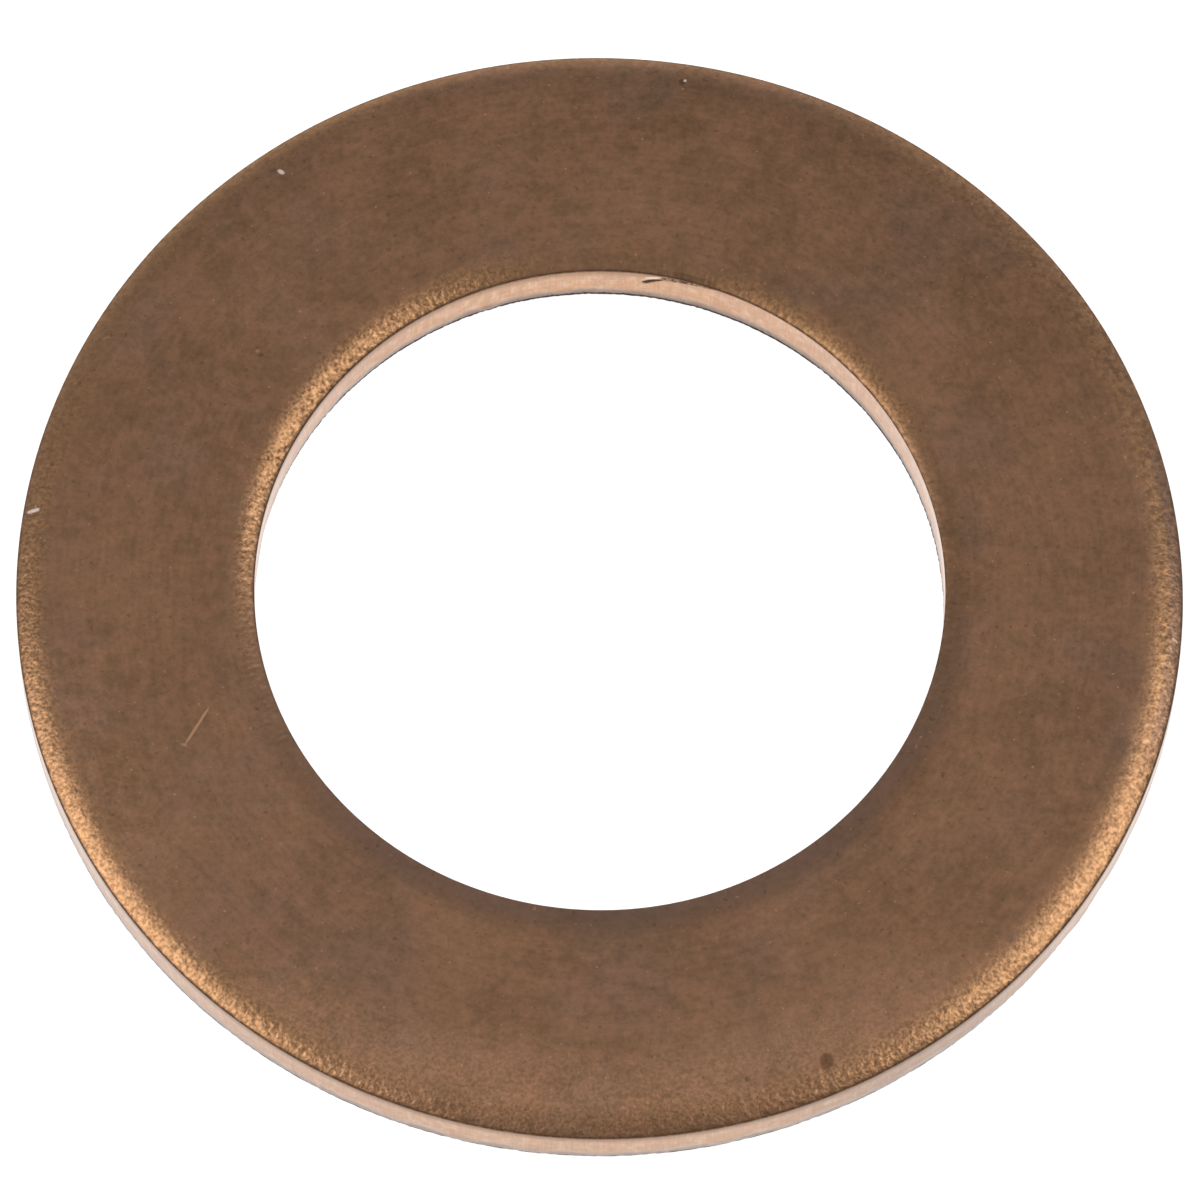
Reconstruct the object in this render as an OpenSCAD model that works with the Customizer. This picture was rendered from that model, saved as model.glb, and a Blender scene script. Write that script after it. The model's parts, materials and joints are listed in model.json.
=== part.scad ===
// Copper crush washer: one flat ring, blanked from sheet in a single stroke.
// The stroke leaves three zones down each wall: an edge rolled over from the top face,
// a burnished land square to the faces, and a fracture that leans back to the bottom face.
// The origin is the middle of the ring on its bottom face, and +Z is the ring's axis.

/* [Ring] */
// Diameter of the hole across its burnished land
bore_d = 14.2; // [10:0.1:18]
// Diameter of the outside across its burnished land
outer_d = 24; // [20:0.1:36]
// Thickness between the two sealing faces
thickness = 1.5; // [1.2:0.1:3]

/* [Rolled-over edges] */
// Reach of the outside's roll-over, in from its wall
outer_roll_reach = 0.8; // [0.4:0.05:1.2]
// Drop of the outside's roll-over, down from the top face
outer_roll_drop = 0.19; // [0.05:0.01:0.35]
// Reach of the hole's roll-over, out from its wall
bore_roll_reach = 0.5; // [0.3:0.05:0.9]
// Drop of the hole's roll-over, down from the top face
bore_roll_drop = 0.12; // [0.05:0.01:0.25]

/* [Fractured walls] */
// Height of the fracture, up from the bottom face
fracture_h = 0.5; // [0.2:0.05:0.8]
// Lean of the fracture, from the land to the bottom face
fracture_lean = 0.07; // [0.02:0.01:0.2]
// Width of the break that tumbling leaves along each bottom edge
edge_break = 0.05; // [0.01:0.01:0.12]

/* [Hidden] */
bore_r = bore_d / 2;
outer_r = outer_d / 2;
// The fracture's own face stops where the edge break starts
fracture_foot = fracture_lean * (1 - edge_break / fracture_h);
// Cuts run this far past the faces that they open
overrun = 0.5;
// Arcs are drawn to the nearest micron, so that they meet the top face without a step
micron = 0.001;
$fn = 256;

// Radius of the arc that is tangent to the top face and falls by the drop over the reach
function roll_radius(reach, drop) =
    round((reach ^ 2 + drop ^ 2) / (2 * drop) / micron) * micron;

// What the stroke takes off the top edge of a wall at x = 0, with the ring at x < 0
module roll_over(reach, drop) {
    roll_r = roll_radius(reach, drop);
    translate([-reach, thickness - roll_r])
        difference() {
            square([reach + overrun, roll_r + overrun]);
            circle(r = roll_r);
        }
}

// What the stroke tears away below the land of that wall, and tumbling along its bottom edge
module fracture() {
    polygon([
        [0, fracture_h],
        [-fracture_foot, edge_break],
        [-fracture_lean - edge_break, 0],
        [-fracture_lean - edge_break, -overrun],
        [overrun, -overrun],
        [overrun, fracture_h]
    ]);
}

// Everything that the stroke takes off the square edge of a wall
module blanked_wall(reach, drop) {
    roll_over(reach, drop);
    fracture();
}

// Section of the ring, with the radius along x and the axis along y
module ring_section() {
    difference() {
        translate([bore_r, 0])
            square([outer_r - bore_r, thickness]);
        translate([outer_r, 0])
            blanked_wall(outer_roll_reach, outer_roll_drop);
        translate([bore_r, 0])
            mirror([1, 0])
                blanked_wall(bore_roll_reach, bore_roll_drop);
    }
}

module washer() {
    color([0.47, 0.34, 0.26])
        rotate_extrude()
            ring_section();
}

washer();
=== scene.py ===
"""Copper crush washer: one blanked ring, tarnished brown on its faces and bright on its sheared walls.

Properties hold lengths in metres. The ring's section and its finishes are worked out in millimetres.
"""

import json
import math
from typing import NamedTuple

import bpy
import numpy as np
from bpy.props import FloatProperty, FloatVectorProperty, PointerProperty
from mathutils import Matrix, Vector


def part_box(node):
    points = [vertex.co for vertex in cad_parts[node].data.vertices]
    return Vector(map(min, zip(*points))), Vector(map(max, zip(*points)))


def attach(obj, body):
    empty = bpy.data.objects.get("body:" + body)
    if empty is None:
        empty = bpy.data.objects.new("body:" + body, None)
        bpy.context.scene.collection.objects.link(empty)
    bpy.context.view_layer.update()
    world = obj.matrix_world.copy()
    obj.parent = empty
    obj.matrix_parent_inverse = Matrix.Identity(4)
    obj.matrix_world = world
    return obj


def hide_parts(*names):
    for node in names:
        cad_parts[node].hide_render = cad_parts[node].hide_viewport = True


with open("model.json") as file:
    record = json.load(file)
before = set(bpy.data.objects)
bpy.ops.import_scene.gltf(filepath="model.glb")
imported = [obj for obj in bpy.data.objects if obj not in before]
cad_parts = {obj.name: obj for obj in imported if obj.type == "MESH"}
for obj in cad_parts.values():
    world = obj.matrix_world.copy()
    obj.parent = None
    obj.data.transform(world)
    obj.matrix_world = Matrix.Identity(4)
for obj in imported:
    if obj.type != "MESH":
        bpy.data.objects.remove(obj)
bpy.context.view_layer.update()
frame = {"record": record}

bl_info = {
    "name": "Copper Crush Washer",
    "version": (1, 0, 0),
    "blender": (4, 5, 0),
    "location": "3D View > Sidebar > Washer",
    "description": "Builds a blanked copper washer with its tarnish, its marks and a studio stage",
    "category": "Add Mesh",
}

MM = 0.001
CAD_LOW, CAD_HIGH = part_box("washer")
BOLT_BORE = next(m for m in frame["record"]["mounts"] if m["name"] == "bolt_bore")

# Rows of the grid down each zone of the section, and steps round the ring
STEPS_ROUND = 1260
FACE_ROWS = 7
UNDER_ROWS = 4
OUTER_ROWS = {"roll": 12, "corner": 5, "land": 5, "tear": 5, "break": 2}
BORE_ROWS = {"roll": 10, "corner": 5, "land": 16, "tear": 5, "break": 2}

# Unevenness of the walls: its share of each size, and how many bumps go round the ring
ROLL_WANDER, ROLL_BUMPS = 0.05, 5
FRACTURE_WANDER, FRACTURE_BUMPS = 0.12, 40
BREAK_WANDER, BREAK_BUMPS = 0.10, 150
OUTER_SEED, BORE_SEED = 3, 7

# Roughness of the surface: depth and drift in millimetres, and how many bumps go round the ring
WRINKLE_DEPTH, WRINKLE_DRIFT, WRINKLE_BUMPS, WRINKLE_SEED = 0.0012, 0.30, 300, 11
TEAR_DEPTH, TEAR_DRIFT, TEAR_BUMPS, TEAR_SEED = 0.005, 0.35, 160, 12

# Sides of the ring where its finish, its painted highlight and shade and its painted reflection change,
# in degrees round from +X
LEFT_RIM_SIDE = 203.0
DULL_SIDE = 60.0
DULL_RIM_SIDE = 50.3
BORE_WORN_SIDE = 145.2
BORE_GILT_SIDE = 50.3
BORE_HIGHLIGHT_SIDES = (115.5, 60.0)
BORE_SHADE_SIDE = 151.4
BORE_GREY_SIDE = -78.5


class Mark(NamedTuple):
    """A soft spot or scratch, in millimetres and degrees. A taper draws it from wide to narrow."""

    x: float
    y: float
    half_length: float
    half_width: float
    turn: float
    tint: str
    strength: float
    taper: float = 0.0


LONG_SCRATCH = Mark(-8.16, -3.34, 0.53, 0.036, 61.0, "bare_copper_and_shine", 0.85)
SCRATCH_HOOK = Mark(-8.41, -3.76, 0.09, 0.045, -15, "bare_copper_and_shine", 0.60)
# A scratch on the edge, drawn in a painted glint
EDGE_SCRATCH = Mark(-11.70, 1.37, 0.15, 0.050, 13, "painted_glint", 0.75)
# Painted shade and painted highlight on the two sides of a nick, of a dot and of a dent
NICK_SHADE = Mark(-7.03, 9.13, 0.09, 0.050, 5, "grime_and_shade", 0.55)
NICK_SHINE = Mark(-6.86, 9.10, 0.10, 0.060, -30, "painted_glint", 0.85)
DOT_SHADE = Mark(1.44, 11.40, 0.09, 0.100, 0, "pit_dirt_and_shade", 0.60)
DOT_SHINE = Mark(1.50, 11.44, 0.04, 0.040, 0, "painted_glint", 0.85)
DENT_SHADE = Mark(-7.13, 4.94, 0.07, 0.050, 20, "pit_dirt_and_shade", 0.55)
DENT_SHINE = Mark(-7.21, 5.03, 0.06, 0.050, 30, "bare_copper_and_shine", 0.50)
DARK_SPOT = Mark(4.84, -10.26, 0.18, 0.220, 0, "pit_dirt_and_shade", 0.65)
FAINT_SPOT = Mark(8.57, -7.45, 0.22, 0.180, 40, "grime_and_shade", 0.20)
# Painted shade and painted highlight on the two sides of a nick in the right rim
RIM_NICK_SHADE = Mark(11.72, -0.70, 0.10, 0.060, -45, "pit_dirt_and_shade", 0.60)
RIM_NICK_SHINE = Mark(11.83, -0.82, 0.08, 0.035, -40, "painted_glint", 0.28)
# Painted shade on the hole's roll-over, above the nick in the wall of the hole
BORE_RIM_SHADE = Mark(1.79, 6.94, 0.55, 0.090, -14.5, "pit_dirt_and_shade", 0.36)
MARKS = (
    LONG_SCRATCH,
    SCRATCH_HOOK,
    EDGE_SCRATCH,
    NICK_SHADE,
    NICK_SHINE,
    DOT_SHADE,
    DOT_SHINE,
    DENT_SHADE,
    DENT_SHINE,
    DARK_SPOT,
    FAINT_SPOT,
    RIM_NICK_SHADE,
    RIM_NICK_SHINE,
    BORE_RIM_SHADE,
)
# The nick in the far side of the hole, seen from the front: x is across and y is up. Its groove and
# ragged tail are painted dark with shade, and a painted highlight lies above them.
WALL_NICK = Mark(0.93, 1.03, 0.29, 0.130, 33.6, "crease_shade", 0.95, 0.8)
WALL_NICK_TAIL = Mark(1.66, 1.29, 0.66, 0.160, 6, "crease_shade", 0.85, 1.0)
WALL_NICK_SHINE = Mark(0.95, 1.21, 0.22, 0.060, 20, "painted_glint", 0.60)


class SoftPanel(NamedTuple):
    """A soft panel of light: the direction that it shines from, and its size in metres."""

    name: str
    direction: tuple
    width: float
    depth: float


RIGHT_PANEL = SoftPanel("right_panel", (0.622, 0.02, 0.783), 0.36, 0.32)
LEFT_PANEL = SoftPanel("left_panel", (-0.665, -0.12, 0.74), 0.38, 0.35)
PANEL_DISTANCE = 0.6
BACKDROP_GAIN = 1.6

# The floor is a wide disc, a hair below the ring, in metres
FLOOR_RADIUS, FLOOR_GAP, FLOOR_SIDES = 1.5, 0.000005, 96

# The camera looks at a point beside the middle of the ring
CAMERA_AIM = Vector((0.009, 0.243, 0.093)) * MM
LENS_MM, SENSOR_MM = 380.6, 36
CLIP_START, CLIP_END = 0.01, 10


def length(name, description, millimetres):
    """A length that a user may change, stated in millimetres."""
    return FloatProperty(
        name=name, description=description, default=millimetres * MM, unit="LENGTH", precision=6
    )


def angle(name, description, degrees):
    """An angle that a user may change, stated in degrees."""
    return FloatProperty(
        name=name, description=description, default=math.radians(degrees), unit="ROTATION"
    )


def colour(name, description, red, green, blue):
    """A colour that a user may change, as linear red, green and blue."""
    return FloatVectorProperty(
        name=name, description=description, default=(red, green, blue), subtype="COLOR", min=0, max=1
    )


class WasherSizes(bpy.types.PropertyGroup):
    """Sizes of the ring and of the three zones that blanking leaves on its walls."""

    bore_diameter: length(
        "Hole", "Diameter of the hole across its burnished land", 2 * BOLT_BORE["dims"]["r_mm"]
    )
    outer_diameter: length(
        "Outside",
        "Diameter of the outside across its burnished land",
        2 * min(CAD_HIGH.x, CAD_HIGH.y, -CAD_LOW.x, -CAD_LOW.y) / MM,
    )
    thickness: length(
        "Thickness", "Thickness between the two sealing faces", (CAD_HIGH.z - CAD_LOW.z) / MM
    )
    outer_roll_reach: length("Outer roll reach", "Reach of the outside's roll-over from its wall", 0.8)
    outer_roll_drop: length("Outer roll drop", "Drop of the outside's roll-over from the face", 0.19)
    bore_roll_reach: length("Hole roll reach", "Reach of the hole's roll-over from its wall", 0.5)
    bore_roll_drop: length("Hole roll drop", "Drop of the hole's roll-over from the face", 0.12)
    corner_ease: length("Corner ease", "How far the corner below each roll-over is eased", 0.03)
    fracture_height: length("Fracture height", "Height of the fracture, up from the bottom face", 0.5)
    outer_lean: length("Outer lean", "Mean lean of the outside's fracture, in from its land", 0.062)
    bore_lean: length("Hole lean", "Mean lean of the hole's fracture, out from its land", 0.035)
    edge_break: length("Edge break", "Width of the tumbled break along each bottom edge", 0.05)
    punch_offset: length("Punch offset", "Extra lean on the side that the punch came closer to", 0.03)
    punch_side: angle("Punch side", "Side of the ring that has the extra lean", 330)
    outer_roll_side: angle("Outer roll side", "Side of the ring where its roll-over is deepest", 355)
    bore_roll_side: angle("Hole roll side", "Side of the hole where its roll-over is deepest", 150)
    bore_steep_side: angle("Hole steep side", "Side of the hole where its roll-over is steep", 45)
    nick_depth: length("Nick depth", "Depth of the nick in the far side of the hole", 0.03)


class WasherColours(bpy.types.PropertyGroup):
    """Colours of the tarnish and of the bare metal, and of the painted shade, highlights and reflection.
    """

    tarnish: colour("Tarnish", "Brown of the tarnished faces", 0.318, 0.174, 0.097)
    deep_tarnish: colour("Deep tarnish", "Darker blotches in the tarnish", 0.268, 0.147, 0.080)
    red_tarnish: colour("Red tarnish", "Redder flecks in the tarnish", 0.335, 0.170, 0.098)
    # Also a painted reflection: greyer where the near side of the hole reflects the bluish light from
    # behind
    grey_tarnish_and_reflection: colour("Grey tarnish", "Greyer veils and near side of the hole", 0.252, 0.163, 0.128)
    rolled: colour("Rolled edge", "Copper of the rolled-over edges", 0.290, 0.156, 0.076)
    # Painted shade: the dark line along each corner and in the wall's nick
    crease_shade: colour("Crease", "Dark line along each corner and in the wall's nick", 0.11, 0.058, 0.034)
    # Also painted shade: the dark side of small nicks, dots and dents, and the hole's roll-over above
    # the nick
    pit_dirt_and_shade: colour("Pit", "Dirt in pits, dots and dark spots", 0.10, 0.052, 0.028)
    # Also a painted highlight on the lit side of a dent
    bare_copper_and_shine: colour("Bare copper", "Copper in scratches and worn specks", 0.57, 0.318, 0.185)
    # Painted highlight: glints on the lit side of nicks and dots, and along a scratch on the edge
    painted_glint: colour("Glint", "Clean metal in the newest marks", 0.95, 0.78, 0.66)
    burnished: colour("Burnished wall", "Pink copper of the burnished lands", 0.565, 0.318, 0.190)
    amber: colour("Amber wall", "Golden streaks low on the walls", 0.62, 0.330, 0.165)
    pale: colour("Pale wall", "Pale smears on the walls", 0.66, 0.470, 0.340)
    # Also painted shadow along the bottom edges, and painted shade on the dark side of a nick
    grime_and_shade: colour("Grime", "Grey dirt along the bottom edges and on dull spots", 0.095, 0.080, 0.088)


class StageSettings(bpy.types.PropertyGroup):
    """Light, floor and viewpoint."""

    floor_colour: colour("Floor", "Colour of the floor", 0.3, 0.3, 0.3)
    floor_glow: FloatProperty(
        name="Floor glow", description="Light that comes up through the white floor", default=0.93, min=0
    )
    overhead: colour("Overhead", "Soft light from overhead", 0.363, 0.358, 0.352)
    behind: colour("Behind", "Bluish light from low behind the ring", 0.50, 0.55, 0.72)
    backdrop: colour("Backdrop", "White backdrop that rises behind the ring", 1.0, 1.0, 0.95)
    in_front: colour("In front", "Dim light from low in front of the ring", 0.04, 0.04, 0.045)
    right_panel: FloatProperty(
        name="Right panel", description="Brightness of the soft panel on the right", default=3.65, min=0
    )
    left_panel: FloatProperty(
        name="Left panel", description="Brightness of the soft panel on the left", default=4.05, min=0
    )
    camera_elevation: angle("Camera elevation", "How far above the floor the camera looks from", 67.9)
    camera_roll: angle("Camera roll", "How far the camera is rolled", 1.5)
    camera_distance: length("Camera distance", "Distance from the camera to the ring", 262)


class Value:
    """A number that varies over a surface: a socket on which Python's operators add Math nodes."""

    def __init__(self, finish, socket):
        self.finish = finish
        self.socket = socket

    def math(self, operation, *numbers):
        """The result of one Math node on these numbers."""
        inputs = dict(enumerate(numbers))
        return self.finish.value("ShaderNodeMath", {"operation": operation}, inputs)

    def __add__(self, other):
        return self.math("ADD", self, other)

    def __radd__(self, other):
        return self.math("ADD", other, self)

    def __sub__(self, other):
        return self.math("SUBTRACT", self, other)

    def __rsub__(self, other):
        return self.math("SUBTRACT", other, self)

    def __mul__(self, other):
        return self.math("MULTIPLY", self, other)

    def __rmul__(self, other):
        return self.math("MULTIPLY", other, self)

    def __truediv__(self, other):
        return self.math("DIVIDE", self, other)

    def __gt__(self, other):
        return self.math("GREATER_THAN", self, other)

    def __abs__(self):
        return self.math("ABSOLUTE", self)

    def root(self):
        """Its square root."""
        return self.math("SQRT", self)

    def smooth(self, low, high):
        """A soft step from 0 at low to 1 at high."""
        settings = {"interpolation_type": "SMOOTHSTEP"}
        inputs = {"Value": self, "From Min": low, "From Max": high}
        return self.finish.value("ShaderNodeMapRange", settings, inputs)

    def near(self, centre, width):
        """A soft ridge: 1 at the centre, and 0 at half the width to either side."""
        return 1 - abs(self - centre).smooth(0, width / 2)


class Finish:
    """A node tree that is written as Python expressions."""

    def __init__(self, owner):
        owner.use_nodes = True
        self.tree = owner.node_tree
        self.tree.nodes.clear()

    def node(self, kind, settings=None, inputs=None):
        """A new node: its settings first, then a value or a link for each named socket."""
        made = self.tree.nodes.new(kind)
        for name, setting in (settings or {}).items():
            setattr(made, name, setting)
        for key, given in (inputs or {}).items():
            self.feed(made.inputs[key], given)
        return made

    def feed(self, socket, given):
        """Links a socket to what is given, or sets its value."""
        if isinstance(given, Value):
            given = given.socket
        if isinstance(given, bpy.types.NodeSocket):
            self.tree.links.new(given, socket)
        else:
            socket.default_value = given

    def value(self, kind, settings=None, inputs=None, output=0):
        """One output of a new node, as a number."""
        return Value(self, self.node(kind, settings, inputs).outputs[output])

    def split(self, vector):
        """The three numbers of a vector."""
        parts = self.node("ShaderNodeSeparateXYZ", None, {"Vector": vector})
        return [Value(self, socket) for socket in parts.outputs]

    def join(self, x, y, z):
        """A vector of three numbers."""
        return self.node("ShaderNodeCombineXYZ", None, {"X": x, "Y": y, "Z": z}).outputs["Vector"]

    def placed(self, vector, size, shift=(0, 0, 0), turn=0.0):
        """Pattern coordinates: the vector moved by the shift, turned about Z and counted in sizes."""
        inputs = {
            "Vector": vector,
            "Location": shift,
            "Rotation": (0, 0, turn),
            "Scale": size if isinstance(size, tuple) else (size, size, size),
        }
        return self.node("ShaderNodeMapping", {"vector_type": "TEXTURE"}, inputs).outputs["Vector"]

    def noise(self, vector, size, shift, detail, roughness=0.5):
        """Noise from 0 to 1 whose features are about a size across, or one size a direction."""
        inputs = {
            "Vector": self.placed(vector, size, shift),
            "Scale": 1.0,
            "Detail": detail,
            "Roughness": roughness,
        }
        return self.value("ShaderNodeTexNoise", None, inputs)

    def attribute(self, name):
        """A number that the mesh holds at each point."""
        return self.value("ShaderNodeAttribute", {"attribute_name": name}, None, "Fac")

    def mix(self, factor, first, second):
        """The first colour where the factor is 0, and the second where it is 1."""
        inputs = {0: factor, 6: self.rgba(first), 7: self.rgba(second)}
        return self.node("ShaderNodeMix", {"data_type": "RGBA"}, inputs).outputs[2]

    def shade(self, tint, amount):
        """A colour made brighter or darker by an amount."""
        vector = tint if isinstance(tint, bpy.types.NodeSocket) else tuple(tint)
        inputs = {"Vector": vector, "Scale": amount}
        return self.node("ShaderNodeVectorMath", {"operation": "SCALE"}, inputs).outputs["Vector"]

    @staticmethod
    def rgba(tint):
        """A colour property as the four numbers that a colour socket takes, or a socket as it is."""
        return tint if isinstance(tint, bpy.types.NodeSocket) else (*tint, 1.0)


def ripple(theta, along, count, span, seed, waves=24):
    """Even bumps with a mean square of 1: a sum of cosines, each a whole number of turns round the
    ring near the count, which drift as they go along the section by about a turn in each span."""
    rng = np.random.default_rng(seed)
    turns = np.rint(count * rng.uniform(0.5, 1.5, waves))
    drift = rng.normal(0, 2 * np.pi / span, waves)
    phase = rng.uniform(0, 2 * np.pi, waves)
    total = sum(np.cos(k * theta + m * along + p) for k, m, p in zip(turns, drift, phase))
    return total * math.sqrt(2 / waves)


def soft_step(values, low, high):
    """0 below low and 1 above high, with 3t^2 - 2t^3 between them."""
    share = np.clip((values - low) / (high - low), 0, 1)
    return share * share * (3 - 2 * share)


def swell(theta, side, tightness):
    """1 on one side of the ring, and less away from it: exp(tightness * (cos(theta - side) - 1))."""
    return np.exp(tightness * (np.cos(theta - side) - 1))


def blanked_wall(sizes_mm, rows, theta):
    """The section of one wall, from the start of its roll-over to the bottom face.

    Gives arrays of one row a point and one column a step round the ring: how far the surface stands
    out from the wall's land, how far it lies below the top face, the signed distance from the corner
    along the section (less than 0 on the roll-over, and with every corner counted as the same size),
    and the share of the roll-over (0 to 1).
    The roll-over is an arc that is tangent to the face, R - sqrt(R^2 - x^2) below it. The corner is a
    quadratic curve from the arc to the land. The land, fracture and edge break are straight.
    """
    reach, drop, ease, land_end, lean, edge_break, thickness = (
        np.broadcast_to(value, theta.shape) for value in sizes_mm
    )
    arc = (reach**2 + drop**2) / (2 * drop)
    shares = {zone: np.arange(count)[:, None] / count for zone, count in rows.items()}

    roll_share = shares["roll"] * (1 - ease / reach)
    run = (roll_share - 1) * reach
    fall = arc - np.sqrt(arc**2 - (roll_share * reach) ** 2)

    top_run = -ease
    top_fall = arc - np.sqrt(arc**2 - (reach - ease) ** 2)
    t = shares["corner"]
    corner_run = (1 - t) ** 2 * top_run
    corner_fall = (1 - t) ** 2 * top_fall + 2 * t * (1 - t) * drop + t**2 * (drop + ease)

    land_fall = drop + ease + shares["land"] * (land_end - drop - ease)
    tear_end = thickness - edge_break
    foot = lean * (tear_end - land_end) / (thickness - land_end)
    tear_fall = land_end + shares["tear"] * (tear_end - land_end)
    break_run = -foot - shares["break"] * (lean + edge_break - foot)
    break_fall = tear_end + shares["break"] * edge_break

    out = np.concatenate([run, corner_run, 0 * land_fall, -foot * shares["tear"], break_run])
    down = np.concatenate([fall, corner_fall, land_fall, tear_fall, break_fall])
    least = ease.min()
    corner_edge = (2 * t - 1) * least + 0 * ease
    wall_edge = (down - drop - ease + least)[len(run) + len(t):]
    edge = np.concatenate([run + ease - least, corner_edge, wall_edge])
    roll = np.ones_like(down)
    roll[: len(run)] = roll_share
    return out, down, edge, roll


def ring_grid(sizes):
    """The whole ring on a grid that closes both ways: round the section, and round the axis.

    The section runs out along the top face, down the outside wall, in along the bottom face and up
    the hole's wall. Gives radius, height, signed distance from the nearest top corner and share of
    the roll-over, in millimetres, and the angle of each step.
    """
    theta = np.arange(STEPS_ROUND) * (2 * np.pi / STEPS_ROUND)
    thick = sizes.thickness / MM
    bore_r, outer_r = sizes.bore_diameter / 2 / MM, sizes.outer_diameter / 2 / MM

    def wall(reach, drop, ease, lean, rows, seed):
        """One wall, from sizes in metres, each of which wanders a little round the ring."""
        wander = 1 + ROLL_WANDER * ripple(theta, 0, ROLL_BUMPS, 1, seed)
        torn = 1 + FRACTURE_WANDER * ripple(theta, 0, FRACTURE_BUMPS, 1, seed + 1)
        tumbled = 1 + BREAK_WANDER * ripple(theta, 0, BREAK_BUMPS, 1, seed + 2)
        land_end = thick - sizes.fracture_height / MM * torn
        edge_break = sizes.edge_break / MM * tumbled
        rolled = (reach / MM * wander, drop / MM * wander, ease / MM)
        zones = (*rolled, land_end, lean / MM, edge_break, thick)
        return blanked_wall(zones, rows, theta)

    # The outside's roll-over is pressed deeper on one side
    pressed = swell(theta, sizes.outer_roll_side, 4)
    outer = wall(
        sizes.outer_roll_reach * (1 + 0.2 * pressed),
        sizes.outer_roll_drop * (1 + 0.28 * pressed),
        sizes.corner_ease * (1 + 0.3 * pressed),
        sizes.outer_lean + sizes.punch_offset * np.cos(theta - sizes.punch_side),
        OUTER_ROWS,
        OUTER_SEED,
    )
    # The hole's is drawn down deepest on one side, and is short and steep on another
    drawn = swell(theta, sizes.bore_roll_side, 2)
    steep = swell(theta, sizes.bore_steep_side, 4)
    bore = wall(
        sizes.bore_roll_reach * (1.72 - 0.3 * drawn - 0.5 * steep),
        sizes.bore_roll_drop * (0.45 + 1.3 * drawn + 0.35 * steep),
        sizes.corner_ease,
        sizes.bore_lean - sizes.punch_offset * np.cos(theta - sizes.punch_side),
        BORE_ROWS,
        BORE_SEED,
    )
    outer_out, outer_down, outer_edge, outer_roll = outer
    bore_out, bore_down, bore_edge, bore_roll = (part[::-1] for part in bore)

    def across(start, end, rows):
        """Rows at even steps from the start, up to the one before the end."""
        return start + (end - start) * (np.arange(rows) / rows)[:, None]

    outer_foot, bore_foot = (w[0][-1] - (w[0][-2] - w[0][-1]) for w in (outer, bore))
    face_r = across(bore_r - bore_out[-1], outer_r + outer_out[0], FACE_ROWS + 1)[1:]
    under_r = across(outer_r + outer_foot, bore_r - bore_foot, UNDER_ROWS)
    face_edge = -np.minimum(outer_r - face_r, face_r - bore_r)
    under_edge = thick + np.minimum(outer_r - under_r, under_r - bore_r)

    radius = np.concatenate([outer_r + outer_out, under_r, bore_r - bore_out, face_r])
    height = thick - np.concatenate([outer_down, 0 * under_r + thick, bore_down, 0 * face_r])
    edge = np.concatenate([outer_edge, under_edge, bore_edge, face_edge])
    roll = np.concatenate([outer_roll, 0 * under_r, bore_roll, 0 * face_r])
    return theta, radius, height, edge, roll


def roughen(theta, radius, height, edge, roll, sizes):
    """Moves the surface inwards along its own normal, by a depth that depends on the zone: shallow
    wrinkles on the roll-over, a coarse tear on the fracture, and a nick in the far side of the hole,
    whose depth falls as 1 - s^2 to where its wedge of a boundary has s = 1."""
    d_radius = np.roll(radius, -1, 0) - np.roll(radius, 1, 0)
    d_height = np.roll(height, -1, 0) - np.roll(height, 1, 0)
    size = np.hypot(d_radius, d_height)
    thick, tear_top = sizes.thickness / MM, (sizes.thickness - sizes.fracture_height) / MM

    rolled = soft_step(roll, 0.1, 0.6) * (edge < 0)
    torn = soft_step(thick - height, tear_top, tear_top + 0.1) * soft_step(height, 0, 0.04)
    wrinkles = ripple(theta, edge, WRINKLE_BUMPS, WRINKLE_DRIFT, WRINKLE_SEED)
    wrinkle = WRINKLE_DEPTH * (1 - wrinkles) * rolled
    tears = ripple(theta, height, TEAR_BUMPS, TEAR_DRIFT, TEAR_SEED)
    tear = TEAR_DEPTH * np.abs(tears) * torn

    turn = math.radians(WALL_NICK.turn)
    x, up = radius * np.cos(theta) - WALL_NICK.x, height - WALL_NICK.y
    along = (x * math.cos(turn) + up * math.sin(turn)) / WALL_NICK.half_length
    across = (up * math.cos(turn) - x * math.sin(turn)) / WALL_NICK.half_width
    in_nick = np.clip(1 - along**2 - (across * (1.5 + 0.7 * along)) ** 2, 0, 1)
    far_hole = (np.sin(theta) > 0) & (radius < sizes.bore_diameter / MM / 2 + 0.05)
    nick = sizes.nick_depth / MM * in_nick * far_hole

    depth = np.maximum(wrinkle, 0) + tear + nick
    return radius + depth * d_height / size, height - depth * d_radius / size


def ring_mesh(sizes):
    """A closed mesh of four-cornered faces over the grid, with its zones as point attributes."""
    theta, radius, height, edge, roll = ring_grid(sizes)
    radius, height = roughen(theta, radius, height, edge, roll, sizes)
    points = np.stack([radius * np.cos(theta), radius * np.sin(theta), height], -1).reshape(-1, 3) * MM
    rows, steps = radius.shape
    index = np.arange(rows * steps).reshape(rows, steps)
    below, beside = np.roll(index, -1, 0), np.roll(index, -1, 1)
    corner = np.roll(below, -1, 1)
    faces = np.stack([index, below, corner, beside], -1).reshape(-1, 4)

    mesh = bpy.data.meshes.new("washer_ring")
    mesh.from_pydata(points, [], faces)
    for name, values in (("edge", edge), ("roll", roll)):
        attribute = mesh.attributes.new(name, "FLOAT", "POINT")
        whole = np.broadcast_to(values, radius.shape)
        attribute.data.foreach_set("value", whole.astype(np.float32).ravel())
    mesh.shade_smooth()
    mesh.update()
    return mesh


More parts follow.
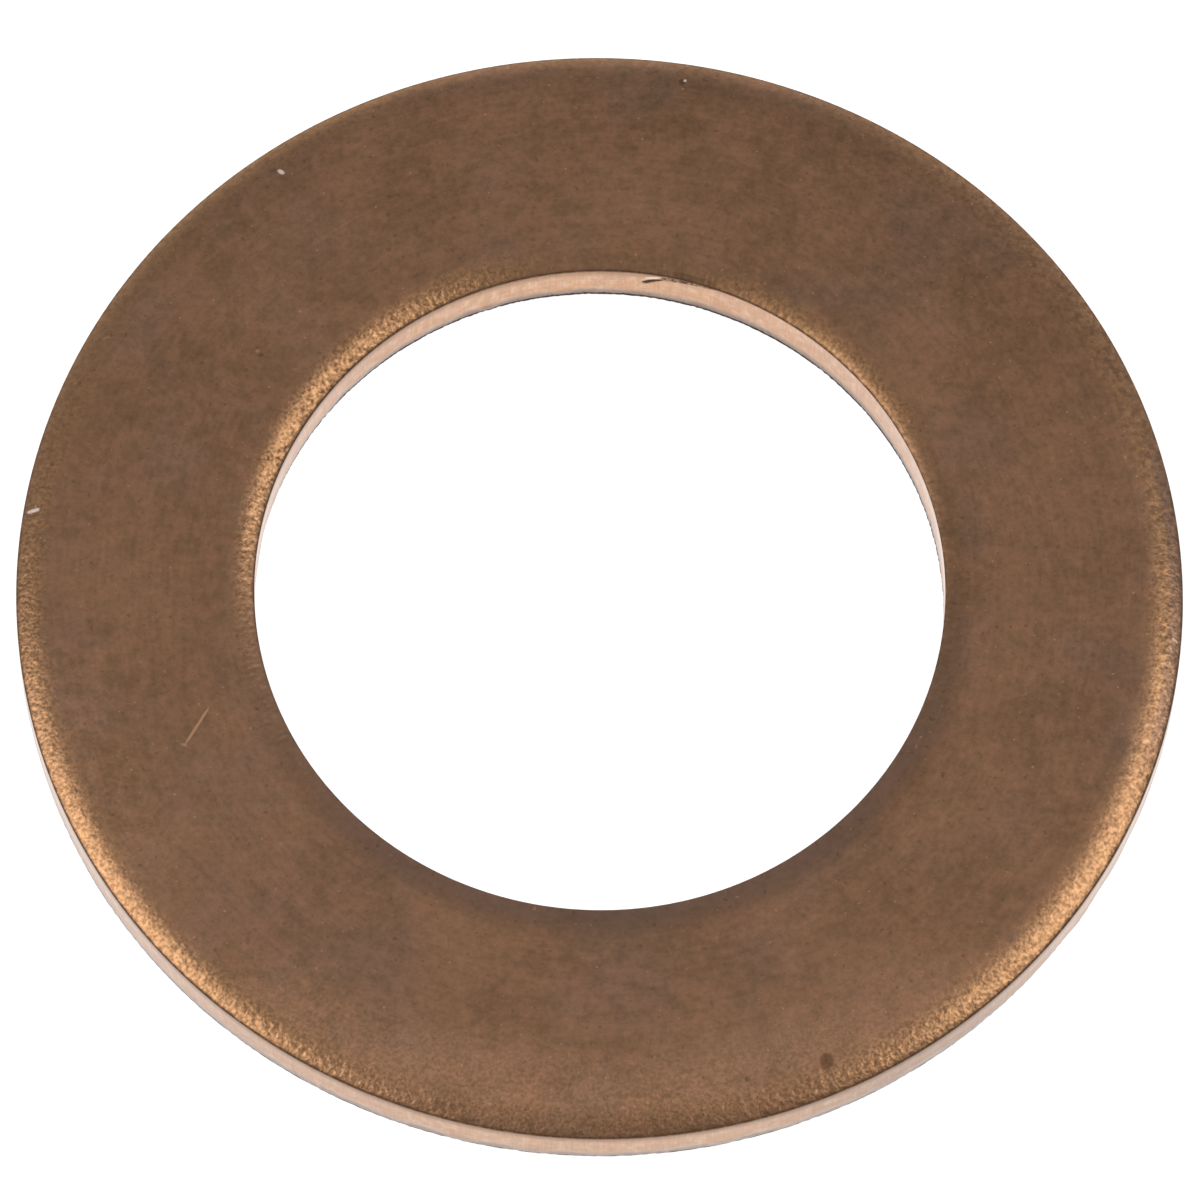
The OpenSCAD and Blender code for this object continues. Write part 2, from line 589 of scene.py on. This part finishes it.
def soft_spot(finish, place, mark, top):
    """A soft round spot, with parallel sides and blunt ends if it is long: the mark's strength over its
    middle, and 0 outside."""
    size = (mark.half_length, mark.half_width, 1.0)
    shift = (mark.x, mark.y, top)
    along, across, off = finish.split(finish.placed(place, size, shift, math.radians(mark.turn)))
    if mark.taper:
        across = across * (1 + mark.taper + mark.taper * along)
    reach = along * along
    if mark.half_length > 2 * mark.half_width:
        reach = reach * reach
    away = reach + across * across + off * off
    return mark.strength * (1 - away.smooth(0.2, 1.0))


class RingFields:
    """What the copper's finishes share: places on the ring, grain, zones of the section and wear."""

    def __init__(self, finish, sizes):
        self.thick = sizes.thickness / MM
        bore_r, outer_r = sizes.bore_diameter / 2 / MM, sizes.outer_diameter / 2 / MM

        # Places, in millimetres: about the middle, along the section, and wrapped round each wall
        self.place = place = finish.placed(finish.node("ShaderNodeTexCoord").outputs["Object"], MM)
        self.edge, self.roll = finish.attribute("edge"), finish.attribute("roll")
        self.x, self.y, self.up = finish.split(place)
        self.radius = (self.x * self.x + self.y * self.y).root()
        self.across, self.ahead = self.x / self.radius, self.y / self.radius
        self.outside = self.radius > (bore_r + outer_r) / 2
        self.inside = 1 - self.outside
        wall_r = bore_r + (outer_r - bore_r) * self.outside
        self.wrapped = finish.join(self.across * wall_r, self.ahead * wall_r, self.edge)
        self.round_ring = finish.join(self.across * outer_r, self.ahead * outer_r, self.radius)

        # Grain of several sizes
        self.cloud = finish.noise(place, 0.85, (5, 8, 2), 1)
        self.mottle = finish.noise(place, 0.32, (3, 1, 7), 2, 0.6)
        self.lump = finish.noise(place, 0.15, (9, 3, 6), 1)
        self.grain = finish.noise(place, 0.13, (6, 2, 5), 1)
        self.pebble = finish.noise(place, 0.075, (4, 7, 1), 1).smooth(0.34, 0.66)
        self.fine = finish.noise(place, 0.055, (1, 5, 2), 0)
        self.grit = (0.35 * self.fine + 0.65 * self.grain).smooth(0.32, 0.68)
        self.ragged = finish.noise(self.wrapped, (0.16, 0.16, 1.5), (0, 0, 0), 1, 0.6)

        # Zones of the section
        foot_edge = self.edge.smooth(self.thick - 0.11, self.thick - 0.07)
        self.wall = self.edge.smooth(0.01, 0.05) * (1 - foot_edge)
        self.wall_low = self.edge.smooth(0.25, 0.75)
        self.bent = self.roll.smooth(0.05, 0.7) * (1 - self.edge.smooth(0.0, 0.05))
        self.rolled = (self.roll + 0.4 * self.mottle - 0.2).smooth(0.05, 0.7) * (1 - self.wall)

        # The face near the rim along the front and on the left, and the wear of the rolled edges
        left_rim = 0.5 * self.facing(LEFT_RIM_SIDE).smooth(0.95, 0.99)
        self.front_left_rim = (self.y.smooth(-6.0, -11.0) + left_rim) * self.radius.smooth(9.2, 11.2)
        self.bore_worn = self.inside * self.facing(BORE_WORN_SIDE).smooth(0.6, 0.95)
        self.worn = self.outside * self.ahead.smooth(0.45, -0.1) + self.bore_worn

    def toward(self, side):
        """How far a point lies from the middle towards one side of the ring, in millimetres."""
        turn = math.radians(side)
        return math.cos(turn) * self.x + math.sin(turn) * self.y

    def facing(self, side):
        """The cosine of the angle round the ring between a point and one side: 1 on that side."""
        return self.toward(side) / self.radius


def tarnished_face(finish, ring, colours):
    """Brown tarnish with blotches, redder flecks and grey veils, and faint streaks round the ring. It is
    brighter near the rim along the front and on the left, and duller towards the far right."""
    blotch = finish.noise(ring.place, 2.2, (0, 0, 0), 2)
    haze = finish.noise(ring.place, 2.8, (1, 6, 3), 2)
    streak = finish.noise(ring.round_ring, (1.1, 1.1, 0.09), (2, 9, 4), 1)
    flecks = (0.6 * ring.mottle + 0.4 * ring.cloud).smooth(0.42, 0.62)
    face = finish.mix(blotch.smooth(0.35, 0.65), colours.tarnish, colours.deep_tarnish)
    face = finish.mix(0.5 * flecks, face, colours.red_tarnish)
    face = finish.mix(0.25 * haze.smooth(0.45, 0.68), face, colours.grey_tarnish_and_reflection)

    grained = 0.17 * ring.grit + 0.30 * ring.mottle + 0.22 * streak + 0.12 * ring.cloud
    front_left_rim = (0.12 + 0.30 * ring.pebble) * ring.front_left_rim
    dull_side = 0.12 * ring.toward(DULL_SIDE).smooth(-8, 11)
    dull_rim = 0.07 * ring.toward(DULL_RIM_SIDE).smooth(9, 11.5)
    dulled = (dull_side + dull_rim) * (0.4 + 0.6 * ring.radius.smooth(7.5, 10.5))
    return finish.shade(face, 0.56 + grained + front_left_rim - dulled)


def rolled_edges(finish, ring, colours, face):
    """Pebbled copper over the face where the sheet rolled over. It is golden on both sides of the
    outside and at two places round the hole, with painted highlight and painted shade at other places
    round the hole, and grey along the near side of the hole, a painted reflection of the bluish light
    from behind."""
    bore_gilt = ring.inside * ring.facing(BORE_GILT_SIDE).smooth(0.88, 0.98)
    gilded = ring.outside * abs(ring.across).smooth(0.25, 0.6) + ring.bore_worn + 0.8 * bore_gilt
    clumped = ring.outside * ring.across.smooth(0.3, 0.8) + ring.bore_worn
    contrast = 0.12 + 0.44 * (ring.worn + bore_gilt) + 0.14 * ring.bore_worn
    pebbles = contrast * (ring.pebble - 0.5)
    lumps = 0.36 * clumped * (ring.lump.smooth(0.36, 0.64) - 0.5)
    # Painted highlight on the hole's rolled edge at two sides, and painted shade at a third
    bore_highlight = sum(ring.facing(side).smooth(0.92, 1.0) for side in BORE_HIGHLIGHT_SIDES)
    bore_painted_shade = ring.facing(BORE_SHADE_SIDE).smooth(0.92, 1.0)
    bore_highlight_and_shade = ring.inside * (0.24 * bore_highlight - 0.2 * bore_painted_shade)
    edging = finish.shade(colours.rolled, 1 + pebbles + lumps + 0.26 * (ring.grit - 0.5) + bore_highlight_and_shade)
    face = finish.mix(ring.rolled * (0.3 + 0.6 * gilded), face, edging)

    # Painted reflection: greyer along the near side of the hole, for the bluish light from behind that
    # it reflects
    near_hole_reflection = ring.inside * ring.roll.smooth(0.15, 0.8) * ring.toward(BORE_GREY_SIDE).smooth(0.5, 6)
    return finish.mix(near_hole_reflection * (0.2 + 0.5 * ring.mottle), face, colours.grey_tarnish_and_reflection)


def pits_and_marks(finish, ring, colours, face):
    """Dirt in pits and dots, specks of bare copper, a dull strip along the right rim, and the marks,
    among them painted shade and painted highlights on the two sides of small nicks, dots and dents, and
    painted shade above the nick in the hole.
    """
    pitted = 0.08 + 0.20 * (ring.worn + ring.bore_worn) * ring.rolled + 0.14 * ring.front_left_rim
    pits = (0.6 * ring.fine + 0.4 * ring.grain).smooth(0.58, 0.66) * pitted
    specks = finish.noise(ring.place, 0.10, (8, 2, 3), 1, 0.4).smooth(0.73 - 0.06 * ring.front_left_rim, 0.79)
    dull_strip = ring.outside * ring.across.smooth(0.94, 0.98) * ring.edge.smooth(-0.34, -0.20)
    face = finish.mix(pits, face, colours.pit_dirt_and_shade)
    face = finish.mix(specks * (0.5 + 0.2 * ring.front_left_rim), face, colours.bare_copper_and_shine)
    face = finish.mix(0.34 * ring.lump.smooth(0.68, 0.75), face, colours.pit_dirt_and_shade)
    face = finish.mix(0.25 * dull_strip, face, colours.grime_and_shade)
    for mark in MARKS:
        spot = soft_spot(finish, ring.place, mark, ring.thick)
        face = finish.mix(spot, face, getattr(colours, mark.tint))
    return face


def sheared_walls(finish, ring, colours):
    """Bright copper where the sheet was sheared: golden streaks, pale smears and upright lines of shear,
    stained below the roll-over, with painted shadow, most of it low down, and painted shade on the right
    of the outside. Gives its colour, and where its grey foot of painted shadow is."""
    outside, across = ring.outside, ring.across
    smear = finish.noise(ring.wrapped, (0.55, 0.55, 0.11), (0, 3, 0), 2, 0.6)
    drawn = finish.noise(ring.wrapped, (0.90, 0.90, 0.045), (4, 1, 6), 1, 0.6)
    shear = finish.noise(ring.wrapped, (0.05, 0.05, 0.7), (5, 3, 0), 1, 0.6)
    patch = finish.noise(ring.wrapped, (0.20, 0.20, 0.26), (7, 2, 4), 2, 0.6)
    golden = smear.smooth(0.40, 0.64) * (0.25 + 0.65 * ring.wall_low) * (1 - 0.4 * outside)
    stain = (1 - ring.edge.smooth(0.06, 0.36)) * (1 - ring.inside * across.smooth(0.0, 0.5))
    cut = finish.mix(golden, colours.burnished, colours.amber)
    cut = finish.mix(0.5 * patch.smooth(0.44, 0.72) + 0.1 * outside, cut, colours.pale)
    cut = finish.mix(0.82 * stain, cut, colours.rolled)

    shadow = (0.64 - 0.16 * outside) * (1 - ring.up.smooth(0.20, 0.60)) + 0.10 * outside
    right_shade = 0.26 * outside * across.smooth(0.2, 0.6) * (1 - across.smooth(0.62, 0.85))
    streaked = 0.61 + 0.36 * shear + 0.18 * drawn + 0.24 * patch
    cut = finish.shade(cut, streaked * (1 - shadow) * (1 - right_shade))
    # The grey foot is painted shadow along the bottom edge of each wall
    foot_height = 0.165 - 0.07 * outside
    foot = 1 - (ring.up - foot_height + 0.06 * (ring.ragged - 0.5)).smooth(-0.03, 0.03)
    return finish.mix(foot, cut, colours.grime_and_shade), foot


def nick_in_wall(finish, ring):
    """Where the nick in the far side of the hole is painted dark with shade, with its ragged tail, and
    where it has a painted highlight.
    """
    front_view = finish.join(ring.x, ring.up, 0.0)
    far_hole = (ring.y > 0) * ring.inside
    nick, tail, shine = (
        soft_spot(finish, front_view, mark, 0.0) for mark in (WALL_NICK, WALL_NICK_TAIL, WALL_NICK_SHINE)
    )
    tail = tail * (0.4 + 0.6 * (0.5 * ring.ragged + 0.5 * ring.fine).smooth(0.42, 0.54))
    return (nick + tail - nick * tail) * far_hole, shine * far_hole


def copper_finish(sizes, colours):
    """Tarnished copper: brown faces, pebbled edges where the sheet rolled over, a dark line of painted
    shade along each corner, and bright walls where it was sheared. The metal loses its shine where shade
    is painted along the corners, in the nick and along the bottom edges."""
    material = bpy.data.materials.new("tarnished_copper")
    finish = Finish(material)
    ring = RingFields(finish, sizes)
    face = tarnished_face(finish, ring, colours)
    face = rolled_edges(finish, ring, colours, face)
    face = pits_and_marks(finish, ring, colours, face)
    cut, foot = sheared_walls(finish, ring, colours)
    nick, shine = nick_in_wall(finish, ring)
    # Painted shade: a ragged dark line along each corner
    crease_shade = (ring.edge + 0.05 * (ring.ragged - 0.5)).near(0.01, 0.16)
    crease_shade = crease_shade * (0.48 + 0.42 * ring.ragged.smooth(0.3, 0.6))
    # Painted highlight above the nick in the far side of the hole
    cut = finish.mix(shine, cut, colours.painted_glint)
    tint = finish.mix(ring.wall, face, cut)
    tint = finish.mix(crease_shade, tint, colours.crease_shade)
    tint = finish.mix(nick, tint, colours.crease_shade)

    # The metal loses its shine where shade is painted: on the foot, along the corners and in the nick
    unshaded = (1 - foot * ring.wall) * (1 - 0.8 * crease_shade) * (1 - nick)
    rough_face = 0.42 + 0.08 * ring.mottle - 0.12 * ring.rolled
    rough_wall = 0.16 + 0.12 * ring.wall_low
    height = (0.0012 + (0.0025 + 0.0062 * ring.worn) * ring.bent) * (0.2 * ring.fine + ring.grain)
    bump = finish.node("ShaderNodeBump", None, {"Strength": 1.0, "Distance": MM, "Height": height})
    shader = finish.node(
        "ShaderNodeBsdfPrincipled",
        None,
        {
            "Base Color": tint,
            "Metallic": (0.92 + 0.08 * ring.wall) * unshaded,
            "Roughness": rough_face + (rough_wall - rough_face) * ring.wall,
            "Specular IOR Level": 0.0,
            "Normal": bump.outputs["Normal"],
        },
    )
    finish.node("ShaderNodeOutputMaterial", None, {"Surface": shader.outputs["BSDF"]})
    return material


class WASHER_OT_ring(bpy.types.Operator):
    """Build the copper ring and its finish"""

    bl_idname = "washer.ring"
    bl_label = "Washer Ring"

    def execute(self, context):
        sizes, colours = context.scene.washer_sizes, context.scene.washer_colours
        ring = bpy.data.objects.new("ring", ring_mesh(sizes))
        context.scene.collection.objects.link(ring)
        ring.data.materials.append(copper_finish(sizes, colours))
        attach(ring, "root")
        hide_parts("washer")
        return {"FINISHED"}


def add_panel_light(panel, brightness):
    """A soft panel that faces the ring from its direction, with the same brightness at any size."""
    lamp = bpy.data.lights.new(panel.name, "AREA")
    lamp.shape = "RECTANGLE"
    lamp.size, lamp.size_y = panel.width, panel.depth
    lamp.energy = brightness * math.pi * panel.width * panel.depth
    towards = Vector(panel.direction).normalized()
    light = bpy.data.objects.new(panel.name, lamp)
    light.rotation_euler = towards.to_track_quat("Z", "Y").to_euler()
    light.location = towards * PANEL_DISTANCE
    bpy.context.scene.collection.objects.link(light)


def add_floor(stage):
    """A wide round floor just below the ring, which glows white: one face with many sides."""
    turn = np.arange(FLOOR_SIDES) * (2 * np.pi / FLOOR_SIDES)
    rim = np.stack([FLOOR_RADIUS * np.cos(turn), FLOOR_RADIUS * np.sin(turn), 0 * turn - FLOOR_GAP], -1)
    mesh = bpy.data.meshes.new("floor")
    mesh.from_pydata(rim, [], [list(range(FLOOR_SIDES))])
    floor = bpy.data.objects.new("floor", mesh)
    bpy.context.scene.collection.objects.link(floor)
    material = bpy.data.materials.new("pale_floor")
    finish = Finish(material)
    shader = finish.node(
        "ShaderNodeBsdfPrincipled",
        None,
        {
            "Base Color": (*stage.floor_colour, 1),
            "Roughness": 1.0,
            "Specular IOR Level": 0.0,
            "Emission Color": (1, 1, 1, 1),
            "Emission Strength": stage.floor_glow,
        },
    )
    finish.node("ShaderNodeOutputMaterial", None, {"Surface": shader.outputs["BSDF"]})
    material.cycles.emission_sampling = "NONE"
    mesh.materials.append(material)


def add_surroundings(stage):
    """Soft light from all round: even overhead, bluish low behind, a white backdrop that rises behind
    the ring and is dimmer on the right, and dark low in front."""
    world = bpy.data.worlds.new("studio")
    bpy.context.scene.world = world
    finish = Finish(world)
    towards = finish.node("ShaderNodeTexCoord").outputs["Generated"]
    x, y, z = finish.split(towards)
    low = finish.mix(y.smooth(-0.5, 0.6), stage.in_front, stage.behind)
    high = finish.shade(stage.overhead, 1.08 - 0.12 * y.smooth(0.1, 0.62))
    light = finish.mix(z.smooth(0.40, 0.90), low, high)
    raised = y.smooth(0.45, 0.85) * (1 - z.smooth(0.22, 0.48)) * (1 - 0.5 * x.smooth(0.0, 0.4))
    light = finish.mix(raised, light, finish.shade(stage.backdrop, BACKDROP_GAIN))
    light = finish.mix(y.smooth(-0.50, -0.80), light, stage.in_front)
    background = finish.node("ShaderNodeBackground", None, {"Color": light, "Strength": 1.0})
    finish.node("ShaderNodeOutputWorld", None, {"Surface": background.outputs["Background"]})


def add_camera(stage):
    """A camera on the -Y side that looks down at its aim, raised and rolled by the stage's angles."""
    elevation, roll = stage.camera_elevation, stage.camera_roll
    back = Vector((0, -math.cos(elevation), math.sin(elevation)))
    level, upright = Vector((1, 0, 0)), Vector((0, math.sin(elevation), math.cos(elevation)))
    right = level * math.cos(roll) + upright * math.sin(roll)
    up = upright * math.cos(roll) - level * math.sin(roll)
    lens = bpy.data.cameras.new("camera")
    lens.sensor_width, lens.lens = SENSOR_MM, LENS_MM
    lens.clip_start, lens.clip_end = CLIP_START, CLIP_END
    camera = bpy.data.objects.new("camera", lens)
    facing = Matrix((right, up, back)).transposed().to_4x4()
    camera.matrix_world = Matrix.Translation(CAMERA_AIM + back * stage.camera_distance) @ facing
    bpy.context.scene.collection.objects.link(camera)
    bpy.context.scene.camera = camera


class WASHER_OT_stage(bpy.types.Operator):
    """Set up the floor, the lights and the camera"""

    bl_idname = "washer.stage"
    bl_label = "Studio Stage"

    def execute(self, context):
        stage = context.scene.washer_stage
        add_floor(stage)
        add_surroundings(stage)
        add_panel_light(RIGHT_PANEL, stage.right_panel)
        add_panel_light(LEFT_PANEL, stage.left_panel)
        add_camera(stage)
        context.scene.view_settings.view_transform = "Standard"
        return {"FINISHED"}


class WASHER_PT_sidebar(bpy.types.Panel):
    """Sizes, colours and steps of the washer"""

    bl_idname = "WASHER_PT_sidebar"
    bl_label = "Crush Washer"
    bl_space_type = "VIEW_3D"
    bl_region_type = "UI"
    bl_category = "Washer"

    def draw(self, context):
        scene = context.scene
        for group in (scene.washer_sizes, scene.washer_colours, scene.washer_stage):
            box = self.layout.box()
            for name in group.__annotations__:
                box.prop(group, name)
        for operator in (WASHER_OT_ring, WASHER_OT_stage):
            self.layout.operator(operator.bl_idname)


CLASSES = (
    WasherSizes,
    WasherColours,
    StageSettings,
    WASHER_OT_ring,
    WASHER_OT_stage,
    WASHER_PT_sidebar,
)


def register():
    """Registers the classes, and gives each scene their sizes, colours and stage."""
    for cls in CLASSES:
        bpy.utils.register_class(cls)
    bpy.types.Scene.washer_sizes = PointerProperty(type=WasherSizes)
    bpy.types.Scene.washer_colours = PointerProperty(type=WasherColours)
    bpy.types.Scene.washer_stage = PointerProperty(type=StageSettings)


def unregister():
    """Takes away what register added, in the opposite order."""
    del bpy.types.Scene.washer_stage
    del bpy.types.Scene.washer_colours
    del bpy.types.Scene.washer_sizes
    for cls in reversed(CLASSES):
        bpy.utils.unregister_class(cls)


def main():
    """Builds the ring and its stage."""
    register()
    bpy.ops.washer.ring()
    bpy.ops.washer.stage()


if __name__ == "__main__":
    main()
